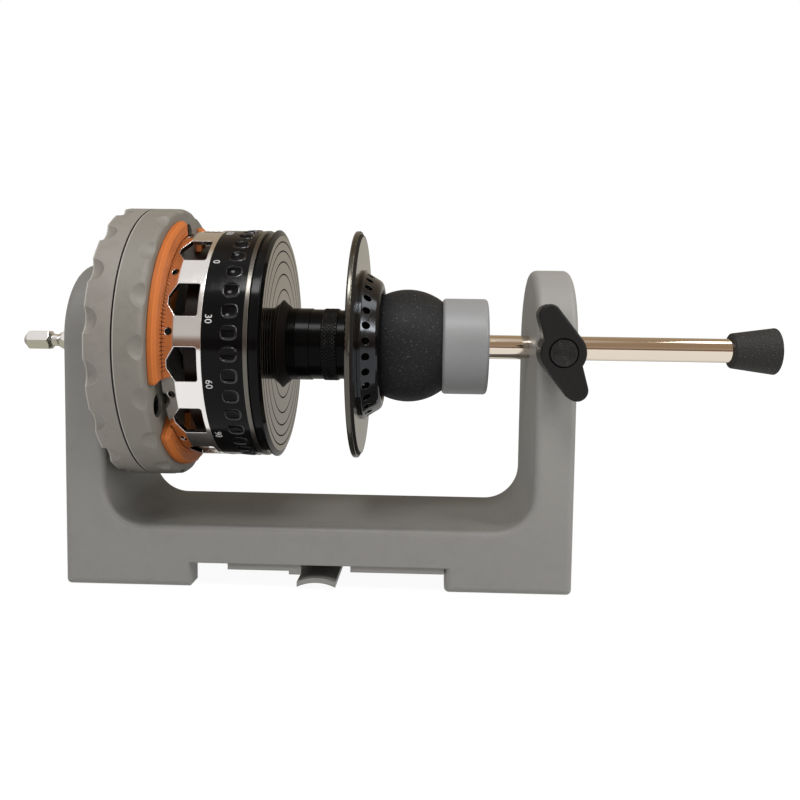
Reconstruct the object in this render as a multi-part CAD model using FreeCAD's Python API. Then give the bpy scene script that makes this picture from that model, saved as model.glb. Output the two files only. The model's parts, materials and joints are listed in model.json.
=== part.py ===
"""Fishing line winder: a hand-size spooling stand driven by a drill.

A U-shaped frame carries a drive head in one post and a sliding tail shaft in the other.
The drive head is a hex shank on a ball-bearing shaft with a three-jaw cam chuck. A reel spool
sits between the chuck and a rubber ball that turns freely on the tail shaft. A wing screw in
the tail post clamps the shaft where it is set.

Lengths are in millimetres. Stations are measured along the spindle from the outer face of the
head post. The origin is under the middle of the whole winder, on the surface it stands on,
with +X along the spindle towards the tail, and +Z up. Angles round the spindle start at +Y
and grow towards +Z.
"""

import FreeCAD
import Part
import math
import os

Vector = FreeCAD.Vector
ALONG = Vector(1, 0, 0)         # the spindle's direction
DRAWN_AT = 90                   # outlines are drawn above the spindle, at +Z

# ---- frame ---------------------------------------------------------------------------------
frame_depth = 52.0          # front to back
post_thickness = 13.6
axis_height = 81.2          # spindle axis above the feet
crown_lift = 1.3            # centre of the round crowns above the spindle axis
bar_top = 21.3
bar_bottom = 8.5
head_foot_length = 42.0
tail_foot_length = 42.3
foot_corner = 1.6           # rounded lower corners of the feet
foot_leg = 10.0             # legs at the front and back of a foot, open between them
corner_radius = 13.0        # inside corners between the posts and the bar
edge_radius = 2.4           # soft edges round the posts and the bar
frame_wall = 3.2            # walls left round the moulding pockets underneath
foot_pocket = 12.0          # depth of the pocket in each foot
rib_setback = 0.6           # stiffening ribs stand back from the faces of the bar
rib_drop = 2.2              # ribs below the underside of the bar
head_rib_from_foot = 12.9
head_rib_length = 20.6
lug_length = 4.0            # lug at the end of the head rib
lug_drop = 3.4
lug_depth = 9.0
rib_spacing = 16.6          # clear space for the saddle, from the lug to the tail rib

# ---- saddle under the bar ------------------------------------------------------------------
saddle_from_lug = 5.2       # lug to the middle of the saddle
saddle_width = 12.9
saddle_wall = 1.6
saddle_arc = 14.5           # inside radius, for a rod or a rail
saddle_corner = 1.1         # lowest corner above the surface the feet stand on
saddle_neck_width = 8.0
saddle_neck_length = 22.0
saddle_peg_radius = 3.0
saddle_peg_length = 6.0

# ---- drive shaft ---------------------------------------------------------------------------
hex_flats = 6.35            # quarter-inch drill shank, across flats
shank_reach = 25.2          # from the head post to the tip
shank_tip_radius = 1.6
shank_tip_length = 1.9      # the tapered tip
groove_from_tip = 8.9
groove_rear_slope = 1.3     # length of the steep side of the ball groove
groove_floor = 1.9
groove_front_slope = 2.6
groove_depth = 1.0
journal_radius = 4.0
bearing_radius = 8.0
bearing_width = 5.0
bearing_race = 1.25         # thickness of an inner race
bearing_web = 1.0           # wall of the post left between the two bearings
bearing_web_radius = 6.6
clip_width = 1.0
clip_radius = 5.6
clip_groove_depth = 0.6
clip_mouth = 3.0            # opening of a retaining clip
shoulder_radius = 5.3
shoulder_length = 2.0
hub_seat_radius = 4.5
hub_seat_flat = 0.9         # depth of the drive flat on the hub seat
hub_bolt_radius = 2.5
hub_bolt_grip = 10.0        # length of bolt inside the shaft
hub_bolt_head_radius = 4.4
hub_bolt_head_length = 3.0
hub_bolt_draw = 0.5         # space between the end of the shaft and the bolt head

# ---- cam chuck -----------------------------------------------------------------------------
chuck_gap = 2.6             # between the head post and the chuck
grip_ring_length = 8.6      # rear ring, to the seam
seam = 0.3
face_ring_length = 9.3      # front ring, from the seam to the chuck face
rim_fillet = 1.7
cam_plate = 4.0
grip_ring_wall = 4.6
hub_recess = 1.0            # hub plate stands in from the rear of the grip ring
hub_plate_gap = 0.6         # between the hub plate and the inside of the grip ring
hub_radius = 15.0
hub_rear_radius = 9.0
hub_nose_radius = 12.0
hub_nose_length = 4.0
cam_gap = 0.4               # between the hub plate and the cam plate
scallop_count = 18
scallop_width = 8.8
scallop_depth = 1.9
front_scallop_depth = 1.5
screw_from_plate_edge = 3.7 # the three screws that hold the face to the hub
screw_post_radius = 3.4
screw_radius = 2.0
screw_head_radius = 3.4
screw_head_length = 3.2
screw_recess_radius = 4.0
screw_recess_depth = 4.2
screw_thread_floor = 1.2    # hub left behind the end of each screw
socket_flats = 3.0          # hexagon sockets of the screws
socket_depth = 1.8

# ---- jaws ----------------------------------------------------------------------------------
jaw_count = 3
first_jaw_angle = 30.0
jaw_span = 93.0             # degrees round the chuck
jaw_rim = 3.6               # chuck face left outside the jaws
jaw_width = 9.5
jaw_band = 4.9              # width of the raised outer band that grips the spool
jaw_ledge_height = 2.1      # ledge above the chuck face
jaw_band_height = 2.8       # outer band above the chuck face
jaw_end_radius = 1.5
jaw_bevel = 1.0
jaw_travel = 3.0            # outward, from clamped to open
jaw_block_width = 11.6
jaw_block_length = 13.0
jaw_block_setback = 5.5     # block stands in from the outside of the jaw
jaw_pin_radius = 2.0
jaw_pin_from_end = 2.5      # pin's centre from the inner end of the block
cam_turn = 60.0             # degrees of grip ring for the full jaw travel
cam_overrun = 2.0           # degrees of slot left at each end

# ---- spool ---------------------------------------------------------------------------------
spool_radius = 39.8
spool_wall = 1.6
skirt_length = 13.4
skirt_taper = 1.5           # radius lost at the rear edge, where the jaws grip
skirt_taper_length = 4.8
window_count = 12
first_window_angle = 7.9
window_width = 11.1
window_length = 9.8
window_slope = 2.8          # length of the sloped shoulders
window_tip_width = 2.6
window_margin = 1.4         # from the windows to the black band
window_corner = 0.9
vent_radius = 1.25
vent_from_edge = 3.0
band_length = 13.1
dent_count = 36
first_dent_angle = 3.0
dent_radius = 2.8
dent_depth = 0.85
dent_from_front = 4.6
bright_ring_length = 1.4
bright_ring_stand = 0.1
flange_length = 4.1
flange_groove = 2.9
flange_groove_depth = 0.9
flange_stand = 0.4          # rims of the line groove stand out past the skirt
flange_bevel = 0.8
flange_rim = 1.9            # black rim round the metal face
flange_plate = 2.4
flange_wall = 1.8
face_disc = 0.8             # metal face on the flange
face_lines = (2.0, 5.2, 9.0, 13.4, 18.8)   # lines turned in the face, from its edge inwards
face_line_width = 0.3
face_line_depth = 0.2
face_cone_radius = 15.4     # cone where the face meets the arbor
face_cone_length = 2.7
face_cone_tip = 0.3
core_gap = 3.7              # from the skirt to the cup inside it, seen through the windows
core_wall = 1.5
core_floor = 1.6
core_from_skirt = 6.2       # rear edge of the skirt to the floor of the cup
core_hole_radius = 6.0
arbor_radius = 12.8
arbor_bore = 10.5
arbor_rear_length = 10.5
arbor_ring_length = 2.9
arbor_ring_seat = 0.5
arbor_ring_grooves = 4      # turned in the ring, so that the first turn of line holds
arbor_ring_groove_width = 0.3
arbor_ring_groove_depth = 0.25
waist_radius = 12.5
waist_length = 4.2
knurl_radius = 12.95
knurl_seat_radius = 12.2
knurl_length = 5.5
arbor_front_radius = 12.3
arbor_front_length = 5.9
lip_length = 2.6
lip_rim_width = 1.0
lip_rim_length = 1.8
lip_bevel = 0.6
nose_foot_radius = 26.6
nose_foot_length = 1.0
nose_rear_radius = 26.0
nose_front_radius = 23.1
nose_length = 4.8
nose_wall = 1.6
nose_bead = ((0.7, -0.6), (1.1, -1.3), (1.3, -2.1), (1.2, -2.9), (0.6, -3.3))   # past the cone
nose_hole_count = 30
nose_hole_radius = 1.25
nose_hole_from_lip = 2.75
first_nose_hole_angle = 6.7

# ---- ball head -----------------------------------------------------------------------------
ball_radius = 20.0
ball_seat_depth = 4.1       # how far the ball reaches behind the front of the spool lip
ball_flat_from_centre = 12.2
cup_radius = 17.0
cup_length = 15.9
cup_fillet = 1.3
cup_spigot_radius = 9.0
cup_spigot_length = 9.0
cup_cavity_radius = 7.0
cup_cover_radius = 13.0
cup_cover_length = 3.5
tail_bearing_radius = 9.5
tail_bearing_width = 6.0
tail_journal_radius = 3.5
tail_journal_tip = 2.6      # journal beyond the bearing

# ---- tail shaft and clamp ------------------------------------------------------------------
tail_shaft_radius = 4.25
cup_to_post = 14.6          # sets how far the tail shaft can slide back
post_to_end_cap = 57.8
end_cap_length = 15.6
end_cap_rear_radius = 6.2
end_cap_radius = 8.35
end_cap_edge = 0.6
end_cap_wall = 7.0          # rubber beyond the end of the shaft
bush_radius = 6.5
stud_radius = 3.0
stud_in_post = 13.0
insert_radius = 4.2
insert_length = 12.0
pad_passage_radius = 3.4
wing_gap = 0.6              # between the tail post and the wing screw
wing_hub_radius = 7.2
wing_hub_length = 12.0
wing_thickness = 8.0
wing_tip_radius = 3.5
wing_reach = 12.4           # hub centre to the centre of a wing's tip
wing_angle = 111.0          # degrees from +X towards +Z
wing_flare = 5.8            # degrees that the stepped side opens towards the hub
wing_root_along = 4.2       # where the stepped side ends, inside the hub
wing_edge = 0.8
knob_cap_radius = 4.6
knob_cap_depth = 1.6
knob_cap_stand = 0.3
stud_in_knob = 7.5

# ---- clearances ----------------------------------------------------------------------------
press_fit = 0.03            # radial, between parts that are fastened together
running_fit = 0.06          # radial, between a turning or sliding part and its bore
body_gap = 0.3              # between parts that only pass each other
slide_gap = 0.15            # round a jaw in its guide
shield_gap = 0.25           # between the inner race and the shield of a bearing

# ---- radii that follow from the spool ------------------------------------------------------
skirt_end_radius = spool_radius - skirt_taper
jaw_band_inner = skirt_end_radius + body_gap
jaw_outer = jaw_band_inner + jaw_band
jaw_inner = jaw_outer - jaw_width
jaw_block_outer = jaw_outer - jaw_block_setback
jaw_block_inner = jaw_block_outer - jaw_block_length
jaw_pin_circle = jaw_block_inner + jaw_pin_from_end
chuck_radius = jaw_outer + jaw_rim
hub_plate_radius = chuck_radius - grip_ring_wall - hub_plate_gap
screw_circle = hub_plate_radius - screw_from_plate_edge
flange_radius = spool_radius + flange_stand
face_radius = flange_radius - flange_rim
core_radius = spool_radius - spool_wall - core_gap

# ---- stations along the spindle ------------------------------------------------------------
bearing_recess = (post_thickness - 2 * bearing_width - bearing_web) / 2
outer_bearing = bearing_recess
inner_bearing = outer_bearing + bearing_width + bearing_web
shoulder_rear = inner_bearing + bearing_width
shoulder_front = shoulder_rear + shoulder_length
chuck_rear = post_thickness + chuck_gap
cam_seam = chuck_rear + grip_ring_length
cam_rear = cam_seam - cam_plate
hub_rear = chuck_rear + hub_recess
hub_front = cam_rear - cam_gap
face_rear = cam_seam + seam
chuck_face = face_rear + face_ring_length
hub_nose_front = face_rear + hub_nose_length
shaft_front = hub_nose_front - hub_bolt_draw
skirt_rear = chuck_face + jaw_ledge_height + body_gap
skirt_taper_front = skirt_rear + skirt_taper_length
band_rear = skirt_rear + skirt_length
bright_rear = band_rear + band_length
flange_rear = bright_rear + bright_ring_length
flange_front = flange_rear + flange_length
face_seat = flange_front - face_disc
flange_plate_rear = flange_front - flange_plate
arbor_ring_rear = flange_front + face_cone_length
waist_rear = flange_front + arbor_rear_length
knurl_rear = waist_rear + waist_length
arbor_front_rear = knurl_rear + knurl_length
lip_rear = arbor_front_rear + arbor_front_length
lip_front = lip_rear + lip_length
nose_foot = lip_front + nose_foot_length
nose_front = nose_foot + nose_length
ball_centre = lip_front - ball_seat_depth + ball_radius
cup_rear = ball_centre + ball_flat_from_centre
cup_front = cup_rear + cup_length
tail_bearing_front = cup_front - cup_cover_length
tail_bearing_rear = tail_bearing_front - tail_bearing_width
tail_post_inner = cup_front + cup_to_post
frame_length = tail_post_inner + post_thickness
clamp_station = frame_length - post_thickness / 2
end_cap_rear = frame_length + post_to_end_cap
winder_end = end_cap_rear + end_cap_length
tail_shaft_end = winder_end - end_cap_wall
middle = (winder_end - shank_reach) / 2

# ---- heights, depths and angles worked out from the sizes above ----------------------------
half_depth = frame_depth / 2
hex_corner = hex_flats / math.sqrt(3)
jaw_angles = [first_jaw_angle + 360 / jaw_count * index for index in range(jaw_count)]
screw_angles = [angle + 180 / jaw_count for angle in jaw_angles]
head_rib_start = head_foot_length + head_rib_from_foot
lug_start = head_rib_start + head_rib_length
saddle_station = lug_start + lug_length + saddle_from_lug
tail_rib_start = lug_start + lug_length + rib_spacing
wing_rear = -(half_depth + wing_gap)
wing_front = wing_rear - wing_hub_length
stud_tip = -(half_depth - stud_in_post)


# ---- helpers -------------------------------------------------------------------------------
def at(station, y=0.0, z=0.0):
    """A point at a station along the spindle, with y and z from the spindle axis."""
    return Vector(station - middle, y, axis_height + z)


def rod(radius, start, end):
    """A round bar on the spindle axis between two stations."""
    return Part.makeCylinder(radius, end - start, at(start), ALONG)


def tube(outer, inner, start, end):
    """A ring on the spindle axis."""
    return rod(outer, start, end).cut(rod(inner, start, end))


def outline_face(profile):
    """A flat face from (station, radius) points, standing above the spindle axis."""
    points = [at(station, 0, radius) for station, radius in profile]
    return Part.Face(Part.makePolygon(points + [points[0]]))


def turned(profile):
    """A full solid of revolution from (station, radius) points."""
    return outline_face(profile).revolve(at(0), ALONG, 360)


def sector(profile, angle, span):
    """Part of a solid of revolution, centred on an angle round the spindle."""
    return spun(outline_face(profile), angle - span / 2 - DRAWN_AT).revolve(at(0), ALONG, span)


def box(start, end, y_low, y_high, z_low, z_high):
    """A block between two stations; its heights are above the standing surface."""
    corner = Vector(at(start).x, y_low, z_low)
    return Part.makeBox(end - start, y_high - y_low, z_high - z_low, corner)


def spun(shape, angle):
    """A copy turned about the spindle axis, in degrees."""
    copy = shape.copy()
    copy.rotate(at(0), ALONG, angle)
    return copy


def spun_ring(shape, count, first=0.0):
    """Equal copies round the spindle axis, from a shape that is drawn at +Y."""
    return [spun(shape, first + 360 / count * index) for index in range(count)]


def cut_all(body, tools):
    """The body with every tool cut away in one operation."""
    return body.cut(Part.makeCompound(tools))


def fused(first, *others):
    """One solid from several that touch or overlap."""
    return first.multiFuse(list(others)).removeSplitter()


def hexagon(flats, start, end, y=0.0, z=0.0):
    """A hexagonal prism along the spindle, with a corner towards the front."""
    corner = flats / math.sqrt(3)
    turns = [math.radians(60 * index) for index in range(7)]
    points = [at(start, y + corner * math.cos(t), z + corner * math.sin(t)) for t in turns]
    return Part.Face(Part.makePolygon(points)).extrude(ALONG * (end - start))


def circles(shape, station, radius):
    """The circular edges of a shape at a station and a radius."""
    def matches(edge):
        curve = edge.Curve
        round_edge = isinstance(curve, Part.Circle) and abs(curve.Radius - radius) < 0.01
        return round_edge and abs(curve.Center.x - at(station).x) < 0.01
    return [edge for edge in shape.Edges if matches(edge)]


def rounded(shape, radius, *places):
    """Fillet the circular edges at the given (station, radius) places."""
    return shape.makeFillet(radius, [edge for place in places for edge in circles(shape, *place)])


def dish(width, depth, radius, station):
    """A ball that cuts a shallow round dish into a surface of this radius, drawn at +Y."""
    ball = ((width / 2) ** 2 + depth ** 2) / (2 * depth)
    return Part.makeSphere(ball, at(station, radius - depth + ball, 0))


def arc_slot(circle, half_width, start_angle, end_angle, rear, front):
    """A round-ended slot that follows a circle round the spindle."""
    profile = [(rear, circle - half_width), (front, circle - half_width),
               (front, circle + half_width), (rear, circle + half_width)]
    middle_angle = (start_angle + end_angle) / 2
    body = sector(profile, middle_angle, end_angle - start_angle)
    end = Part.makeCylinder(half_width, front - rear, at(rear, circle, 0), ALONG)
    return body.fuse(spun(end, start_angle)).fuse(spun(end, end_angle))


def spiral_slot(angle, rear, front):
    """A cam slot: as the grip ring turns, it carries the jaw pin at this angle outward."""
    half_width = jaw_pin_radius + slide_gap
    steps = 8
    low, high = -cam_overrun, cam_turn + cam_overrun

    def point(turn, offset, past=0.0):
        radius = jaw_pin_circle + jaw_travel * turn / cam_turn + offset
        direction = math.radians(angle - turn)
        y = radius * math.cos(direction) + past * math.sin(direction)
        z = radius * math.sin(direction) - past * math.cos(direction)
        return at(rear, y, z)

    turns = [low + (high - low) * step / steps for step in range(steps + 1)]
    outer = Part.BSplineCurve()
    outer.interpolate([point(turn, half_width) for turn in turns])
    inner = Part.BSplineCurve()
    inner.interpolate([point(turn, -half_width) for turn in reversed(turns)])
    far_end = Part.Arc(point(high, half_width), point(high, 0, half_width), point(high, -half_width))
    near_end = Part.Arc(point(low, -half_width), point(low, 0, -half_width), point(low, half_width))
    wire = Part.Wire([curve.toShape() for curve in (outer, far_end, inner, near_end)])
    return Part.Face(wire).extrude(ALONG * (front - rear))


def clip(inner, outer, start, end):
    """An open retaining clip on the spindle axis."""
    mouth = box(start, end, -clip_mouth / 2, clip_mouth / 2, axis_height, axis_height + outer + 1)
    return tube(outer, inner, start, end).cut(mouth)


# ---- frame and what is fixed in it ---------------------------------------------------------
def frame_blank():
    """The frame with round crowns and soft edges, before pockets and bores."""
    top = axis_height + crown_lift + half_depth
    tail_foot = frame_length - tail_foot_length
    outline = [
        (0, 0), (head_foot_length, 0), (head_foot_length, bar_bottom), (tail_foot, bar_bottom),
        (tail_foot, 0), (frame_length, 0), (frame_length, top), (tail_post_inner, top),
        (tail_post_inner, bar_top), (post_thickness, bar_top), (post_thickness, top), (0, top),
    ]
    points = [Vector(at(station).x, -half_depth, z) for station, z in outline]
    blank = Part.Face(Part.makePolygon(points + [points[0]])).extrude(Vector(0, frame_depth, 0))

    def across(height, *stations):
        """The straight edges that run from front to back at a height and any of the stations."""
        def matches(edge):
            place = edge.CenterOfMass
            near = min(abs(place.x - at(station).x) for station in stations) < 0.01
            return near and abs(place.z - height) < 0.01 and edge.Length > frame_depth - 1
        return [edge for edge in blank.Edges if matches(edge)]

    blank = blank.makeFillet(corner_radius, across(bar_top, post_thickness, tail_post_inner))
    blank = blank.makeFillet(foot_corner, across(0, 0, tail_foot, frame_length))
    crown_centre = axis_height + crown_lift
    straight = box(0, frame_length, -half_depth, half_depth, 0, crown_centre)
    crown = Part.makeCylinder(half_depth, frame_length, at(0, 0, crown_lift), ALONG)
    blank = blank.common(fused(straight, crown))

    def soft(edge):
        place = edge.CenterOfMass
        on_face = abs(abs(place.y) - half_depth) < 0.01
        on_crown = isinstance(edge.Curve, Part.Circle) and place.z > crown_centre
        return place.z > bar_top - 0.01 and (on_face or on_crown)

    return blank.makeFillet(edge_radius, [edge for edge in blank.Edges if soft(edge)])


def rib(start, end, drop):
    """A hollow stiffening rib under the bar, with its moulding pocket."""
    reach = half_depth - rib_setback
    inner = reach - frame_wall
    solid = box(start, end, -reach, reach, bar_bottom - drop, bar_bottom + 1)
    pocket = box(start + frame_wall, end - frame_wall, -inner, inner,
                 bar_bottom - drop - 1, bar_top - frame_wall)
    return solid, pocket


def foot_pocket_tools(start, end, inner_side):
    """The pocket moulded into a foot from below, and the gap between its legs on one side."""
    inner = half_depth - frame_wall
    gap = half_depth - foot_leg
    return [box(start + frame_wall, end - frame_wall, -inner, inner, -1, foot_pocket),
            box(inner_side - frame_wall - 1, inner_side + frame_wall + 1, -gap, gap, -1, bar_bottom)]


def base_frame():
    head_rib, head_pocket = rib(head_rib_start, lug_start, rib_drop)
    tail_foot = frame_length - tail_foot_length
    tail_rib, tail_pocket = rib(tail_rib_start, tail_foot, rib_drop)
    reach = half_depth - rib_setback
    lugs = [box(lug_start, lug_start + lug_length, min(side * reach, side * (reach - lug_depth)),
                max(side * reach, side * (reach - lug_depth)), bar_bottom - lug_drop, bar_bottom + 1)
            for side in (-1, 1)]
    body = fused(frame_blank(), head_rib, tail_rib, *lugs)
    seat = bearing_radius + press_fit
    insert_seat = Part.makeCylinder(insert_radius + press_fit, insert_length + 1,
                                    at(clamp_station, -half_depth - 1, 0), Vector(0, 1, 0))
    passage = Part.makeCylinder(pad_passage_radius, half_depth, at(clamp_station, -half_depth, 0),
                                Vector(0, 1, 0))
    peg_seat = Part.makeCylinder(saddle_peg_radius + press_fit, saddle_peg_length + body_gap,
                                 Vector(at(saddle_station).x, 0, bar_bottom))
    tools = [
        head_pocket, tail_pocket, peg_seat, insert_seat, passage,
        *foot_pocket_tools(0, head_foot_length, head_foot_length),
        *foot_pocket_tools(tail_foot, frame_length, tail_foot),
        rod(seat, -1, outer_bearing + bearing_width),
        rod(bearing_web_radius, 0, post_thickness),
        rod(seat, inner_bearing, post_thickness + 1),
        rod(bush_radius + press_fit, tail_post_inner - 1, frame_length + 1),
    ]
    for tool in tools:
        body = body.cut(tool)
    return body


def rod_saddle():
    """A half-round leaf on a neck, pegged to the underside of the bar."""
    x = at(saddle_station).x
    centre_z = saddle_corner - math.sqrt(saddle_arc ** 2 - (saddle_width / 2) ** 2)

    def drum(radius):
        return Part.makeCylinder(radius, frame_depth, Vector(x, -half_depth, centre_z),
                                 Vector(0, 1, 0))

    half_width, half_neck = saddle_width / 2, saddle_neck_width / 2
    leaf = drum(saddle_arc + saddle_wall).common(
        box(saddle_station - half_width, saddle_station + half_width, -half_depth, half_depth,
            0, bar_bottom))
    neck = box(saddle_station - half_neck, saddle_station + half_neck,
               -saddle_neck_length / 2, saddle_neck_length / 2, saddle_corner + saddle_wall, bar_bottom)
    peg = Part.makeCylinder(saddle_peg_radius, saddle_peg_length, Vector(x, 0, bar_bottom))
    return fused(leaf, neck, peg).cut(drum(saddle_arc))


def head_bearing_outers():
    """Outer races of the two bearings in the head post, with their shields."""
    inside = journal_radius + bearing_race + shield_gap
    return [tube(bearing_radius, inside, rear, rear + bearing_width)
            for rear in (outer_bearing, inner_bearing)]


def tail_bush():
    """Plain bush that the tail shaft slides in, with a side hole for the clamp pad."""
    sleeve = tube(bush_radius, tail_shaft_radius + running_fit, tail_post_inner, frame_length)
    side_hole = Part.makeCylinder(pad_passage_radius, bush_radius + 1, at(clamp_station),
                                  Vector(0, -1, 0))
    return sleeve.cut(side_hole)


def clamp_insert():
    """Threaded insert for the wing screw, flush with the front of the tail post."""
    start = at(clamp_station, -half_depth, 0)
    shell = Part.makeCylinder(insert_radius, insert_length, start, Vector(0, 1, 0))
    return shell.cut(Part.makeCylinder(stud_radius + running_fit, insert_length, start,
                                       Vector(0, 1, 0)))


# ---- drive shaft and hub -------------------------------------------------------------------
def hub_seat(radius, start, end):
    """A round seat with one drive flat, used for the shaft and for the hub's bore."""
    flat = box(start, end, -radius, radius, axis_height + hub_seat_radius - hub_seat_flat
               + (radius - hub_seat_radius), axis_height + 2 * radius)
    return rod(radius, start, end).cut(flat)


def drive_shaft():
    tip = -shank_reach
    shank = hexagon(hex_flats, tip, 0)
    cone = turned([(tip, 0), (tip, shank_tip_radius), (tip + shank_tip_length, hex_corner),
                   (0, hex_corner), (0, 0)])
    shank = shank.common(cone)
    groove = tip + groove_from_tip
    floor_rear = groove + groove_rear_slope
    floor_front = floor_rear + groove_floor
    groove_end = floor_front + groove_front_slope
    floor = hex_flats / 2 - groove_depth
    neck = turned([(groove, 2 * hex_corner), (groove, hex_corner), (floor_rear, floor),
                   (floor_front, floor), (groove_end, hex_corner), (groove_end, 2 * hex_corner)])
    clip_rear = outer_bearing - clip_width
    turned_part = turned([
        (0, 0), (0, journal_radius), (clip_rear, journal_radius),
        (clip_rear, journal_radius - clip_groove_depth),
        (outer_bearing, journal_radius - clip_groove_depth), (outer_bearing, journal_radius),
        (shoulder_rear, journal_radius), (shoulder_rear, shoulder_radius),
        (shoulder_front, shoulder_radius), (shoulder_front, 0)])
    seat = hub_seat(hub_seat_radius, shoulder_front, shaft_front)
    hole = rod(hub_bolt_radius + press_fit, shaft_front - hub_bolt_grip, shaft_front + 1)
    return fused(shank.cut(neck), turned_part, seat).cut(hole)


def shaft_clip():
    return clip(journal_radius - clip_groove_depth + press_fit, clip_radius,
                outer_bearing - clip_width, outer_bearing)


def head_bearing_inners():
    return [tube(journal_radius + bearing_race, journal_radius + press_fit, rear,
                 rear + bearing_width) for rear in (outer_bearing, inner_bearing)]


def chuck_hub():
    """Hub plate behind the grip ring, with three posts that carry the chuck face."""
    body = turned([
        (shoulder_front, 0), (shoulder_front, hub_rear_radius), (hub_rear, hub_rear_radius),
        (hub_rear, hub_plate_radius), (hub_front, hub_plate_radius), (hub_front, hub_radius),
        (face_rear, hub_radius), (face_rear, hub_nose_radius), (hub_nose_front, hub_nose_radius),
        (hub_nose_front, 0)])
    post = Part.makeCylinder(screw_post_radius, face_rear - hub_rear, at(hub_rear, screw_circle, 0),
                             ALONG)
    body = fused(body, *[spun(post, angle) for angle in screw_angles])
    hole = Part.makeCylinder(screw_radius + press_fit, face_rear - hub_rear,
                             at(hub_rear + screw_thread_floor, screw_circle, 0), ALONG)
    bore = hub_seat(hub_seat_radius + press_fit, shoulder_front - 1, hub_nose_front + 1)
    return cut_all(body, [bore] + [spun(hole, angle) for angle in screw_angles])


def socket_screw(radius, head_radius, head_length, tip, seat, y=0.0):
    """A socket-head screw along the spindle, from its tip to the seat of its head."""
    shank = Part.makeCylinder(radius, seat - tip, at(tip, y, 0), ALONG)
    head = Part.makeCylinder(head_radius, head_length, at(seat, y, 0), ALONG)
    front = seat + head_length
    return fused(shank, head).cut(hexagon(socket_flats, front - socket_depth, front + 1, y))


def hub_bolt():
    return socket_screw(hub_bolt_radius, hub_bolt_head_radius, hub_bolt_head_length,
                        shaft_front - hub_bolt_grip + body_gap, hub_nose_front)


def face_screws():
    screw = socket_screw(screw_radius, screw_head_radius, screw_head_length,
                         hub_rear + screw_thread_floor + body_gap,
                         chuck_face - screw_recess_depth, screw_circle)
    return [spun(screw, angle) for angle in screw_angles]


# ---- cam chuck -----------------------------------------------------------------------------
def cam_ring():
    """Grip ring with the cam plate: three spiral slots move the jaws, three arcs clear the posts."""
    rim_inner = chuck_radius - grip_ring_wall
    bore = hub_radius + running_fit
    body = turned([(cam_rear, bore), (cam_rear, rim_inner), (chuck_rear, rim_inner),
                   (chuck_rear, chuck_radius), (cam_seam, chuck_radius), (cam_seam, bore)])
    tools = [arc_slot(screw_circle, screw_post_radius + body_gap, angle - cam_turn - cam_overrun,
                      angle + cam_overrun, cam_rear - 1, cam_seam + 1) for angle in screw_angles]
    tools += [spiral_slot(angle, cam_rear - 1, cam_seam + 1) for angle in jaw_angles]
    scallop = dish(scallop_width, scallop_depth, chuck_radius, chuck_rear)
    return cut_all(body, tools + spun_ring(scallop, scallop_count, 180 / scallop_count))


def chuck_faceplate():
    """Front ring of the chuck: radial guides for the jaws and recesses for the screws."""
    body = tube(chuck_radius, hub_nose_radius + press_fit, face_rear, chuck_face)
    body = rounded(body, rim_fillet, (chuck_face, chuck_radius))
    half_guide = jaw_block_width / 2 + slide_gap
    guide = box(face_rear - 1, chuck_face + 1, jaw_block_inner - body_gap,
                jaw_block_outer + jaw_travel + body_gap, axis_height - half_guide,
                axis_height + half_guide)
    hole = Part.makeCylinder(screw_radius + press_fit, face_ring_length,
                             at(face_rear, screw_circle, 0), ALONG)
    recess = Part.makeCylinder(screw_recess_radius, screw_recess_depth + 1,
                               at(chuck_face - screw_recess_depth, screw_circle, 0), ALONG)
    scallop = dish(scallop_width, front_scallop_depth, chuck_radius, chuck_face)
    tools = [spun(guide, angle) for angle in jaw_angles]
    tools += [spun(hole.fuse(recess), angle) for angle in screw_angles]
    return cut_all(body, tools + spun_ring(scallop, scallop_count))


def jaw(angle):
    """One jaw: an arc pad that grips the spool's skirt, a guide block and a cam pin."""
    rear = chuck_face + slide_gap
    ledge = chuck_face + jaw_ledge_height
    top = chuck_face + jaw_band_height
    pad = sector([(rear, jaw_inner), (rear, jaw_outer), (top, jaw_outer), (top, jaw_band_inner),
                  (ledge, jaw_band_inner), (ledge, jaw_inner)], angle, jaw_span)

    def from_axis(point):
        return math.hypot(point.y, point.z - axis_height)

    def end_edge(edge):
        straight = isinstance(edge.Curve, Part.Line) and abs(edge.tangentAt(edge.FirstParameter).x) > 0.9
        return straight and from_axis(edge.CenterOfMass) > jaw_outer - 0.01

    def outer_edge(edge):
        on_top = edge.BoundBox.XMin > at(top).x - 0.01
        round_edge = isinstance(edge.Curve, Part.Circle)
        return on_top and round_edge and from_axis(edge.valueAt(edge.FirstParameter)) > jaw_band_inner + 0.5

    pad = pad.makeFillet(jaw_end_radius, [edge for edge in pad.Edges if end_edge(edge)])
    pad = pad.makeChamfer(jaw_bevel, [edge for edge in pad.Edges if outer_edge(edge)])
    half_block = jaw_block_width / 2
    guide_block = box(face_rear + body_gap, ledge, jaw_block_inner, jaw_block_outer,
                      axis_height - half_block, axis_height + half_block)
    pin = Part.makeCylinder(jaw_pin_radius, face_rear + 2 * body_gap - cam_rear,
                            at(cam_rear, jaw_pin_circle, 0), ALONG)
    return fused(pad, spun(guide_block, angle), spun(pin, angle))


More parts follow.
